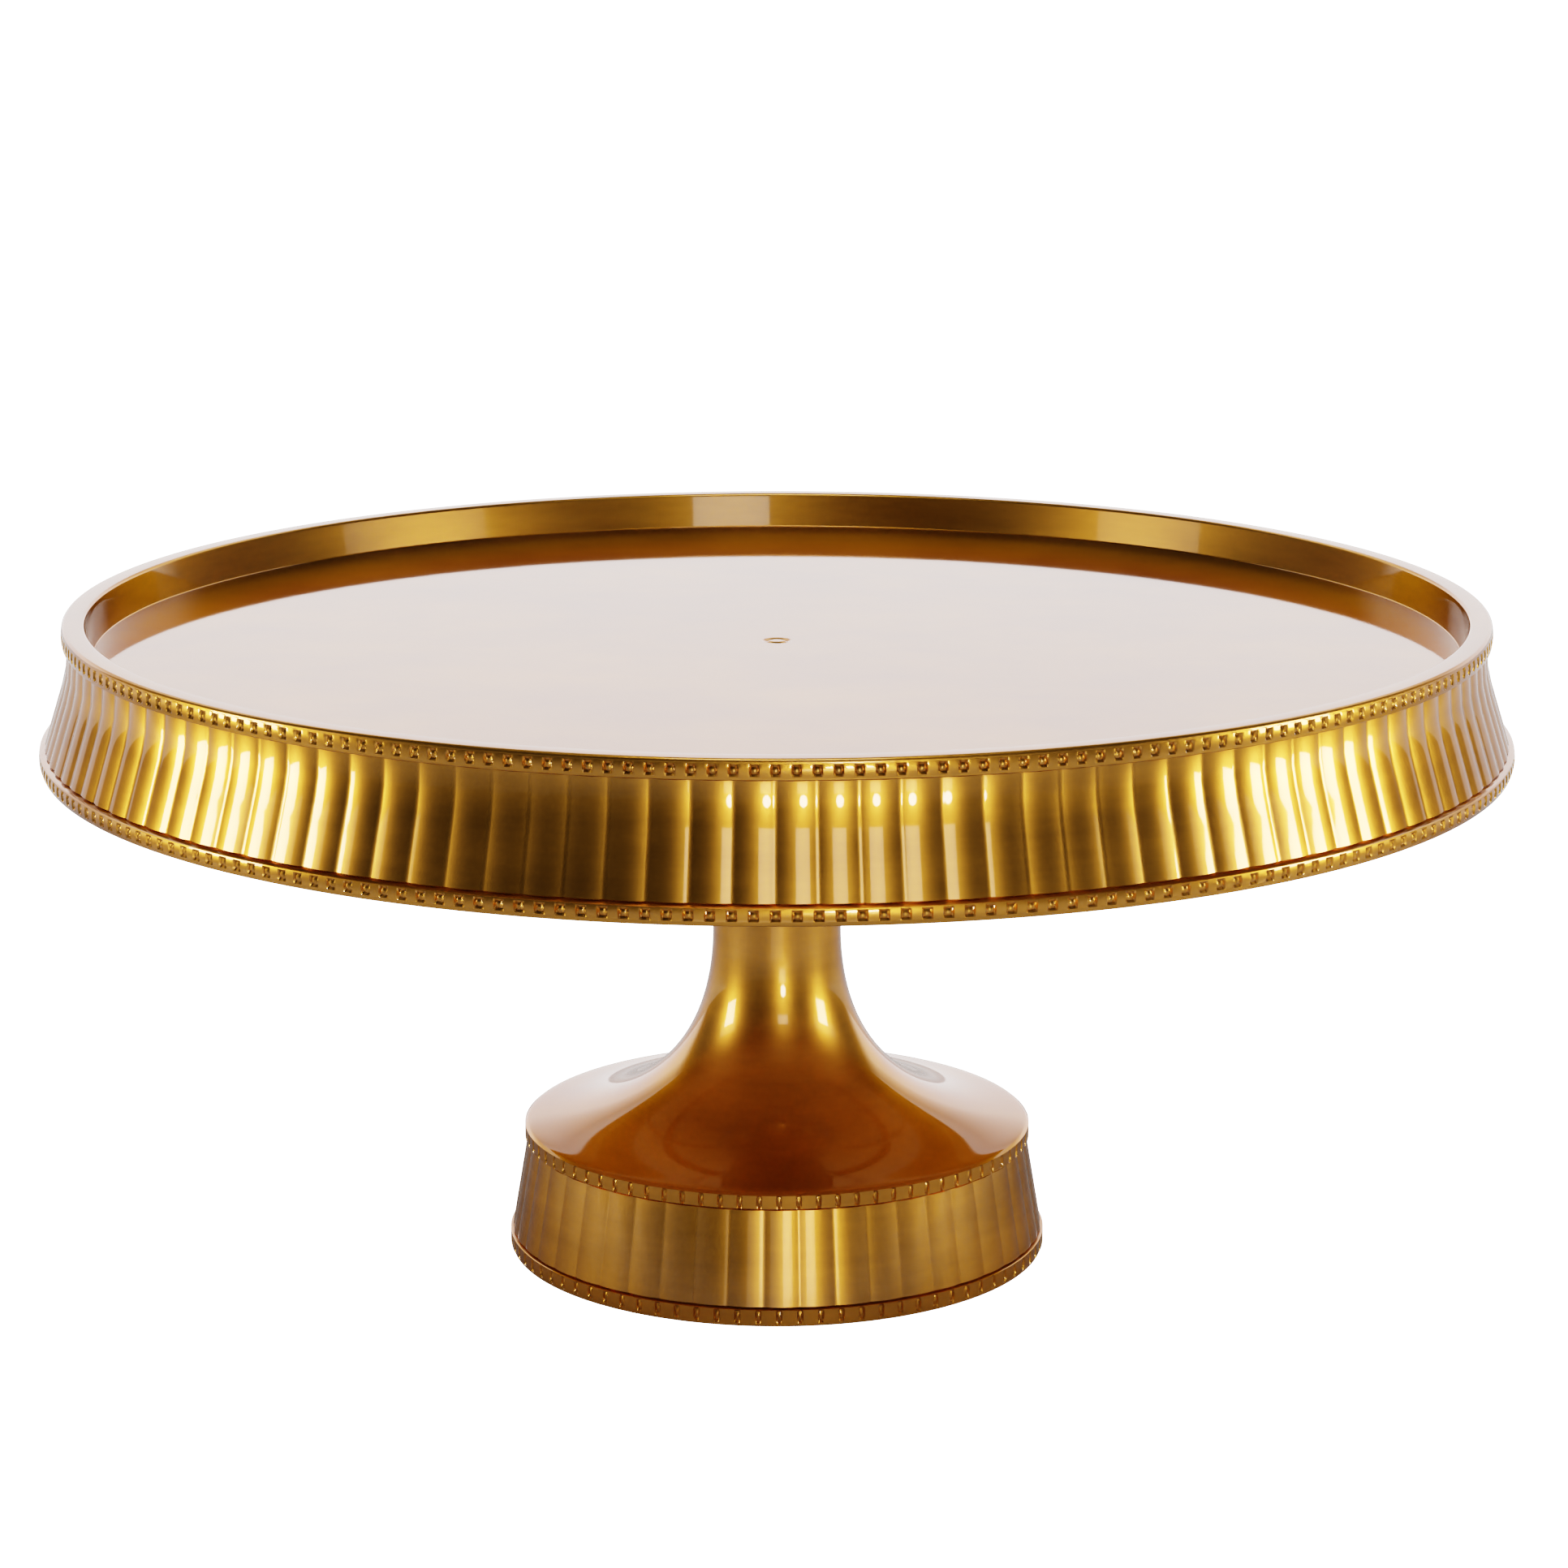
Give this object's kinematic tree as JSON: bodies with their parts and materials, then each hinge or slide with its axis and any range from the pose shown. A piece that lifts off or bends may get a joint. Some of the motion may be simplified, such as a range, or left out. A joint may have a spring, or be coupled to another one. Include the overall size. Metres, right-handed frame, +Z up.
{
  "type": "cake stand",
  "caption": "Round reeded cake stand: a raised-rim tray that twists on to a hollow trumpet pedestal with a beaded drum base.",
  "frame": {"origin": "centre of the pedestal's bottom rim, on the table", "axes": "+Z up along the stand's axis, -Y to the front"},
  "size_m": [0.35, 0.35, 0.1585],
  "materials": {
    "plate_gold": "pearlescent gold moulded plastic with a glossy skin",
    "pedestal_gold": "pearlescent gold moulded plastic with a glossy skin",
    "lock_plastic": "plain gold moulded plastic, fine texture",
    "screw_steel": "zinc-plated steel",
    "soft_rubber": "matt black elastomer"
  },
  "bodies": {
    "pedestal": {"pedestal": "pedestal_gold"},
    "washer": {"friction_ring": "soft_rubber"},
    "tray": {"cake_plate": "plate_gold", "lock_ring": "lock_plastic", "lock_screw_1": "screw_steel", "lock_screw_2": "screw_steel", "lock_screw_3": "screw_steel", "lock_screw_4": "screw_steel"}
  },
  "joints": [
    {"name": "tray_turn", "type": "hinge", "parent": "pedestal", "child": "washer", "pos_m": [0, 0, 0.116], "axis": [0, 0, 1], "range_deg": [0, 60]},
    {"name": "tray_rise", "type": "slide", "parent": "washer", "child": "tray", "axis": [0, 0, 1], "range_m": [0, 0.003]}
  ],
  "couplings": [
    {"joint": "tray_rise", "follows": "tray_turn", "m_per_rad": 0.0028648}
  ]
}
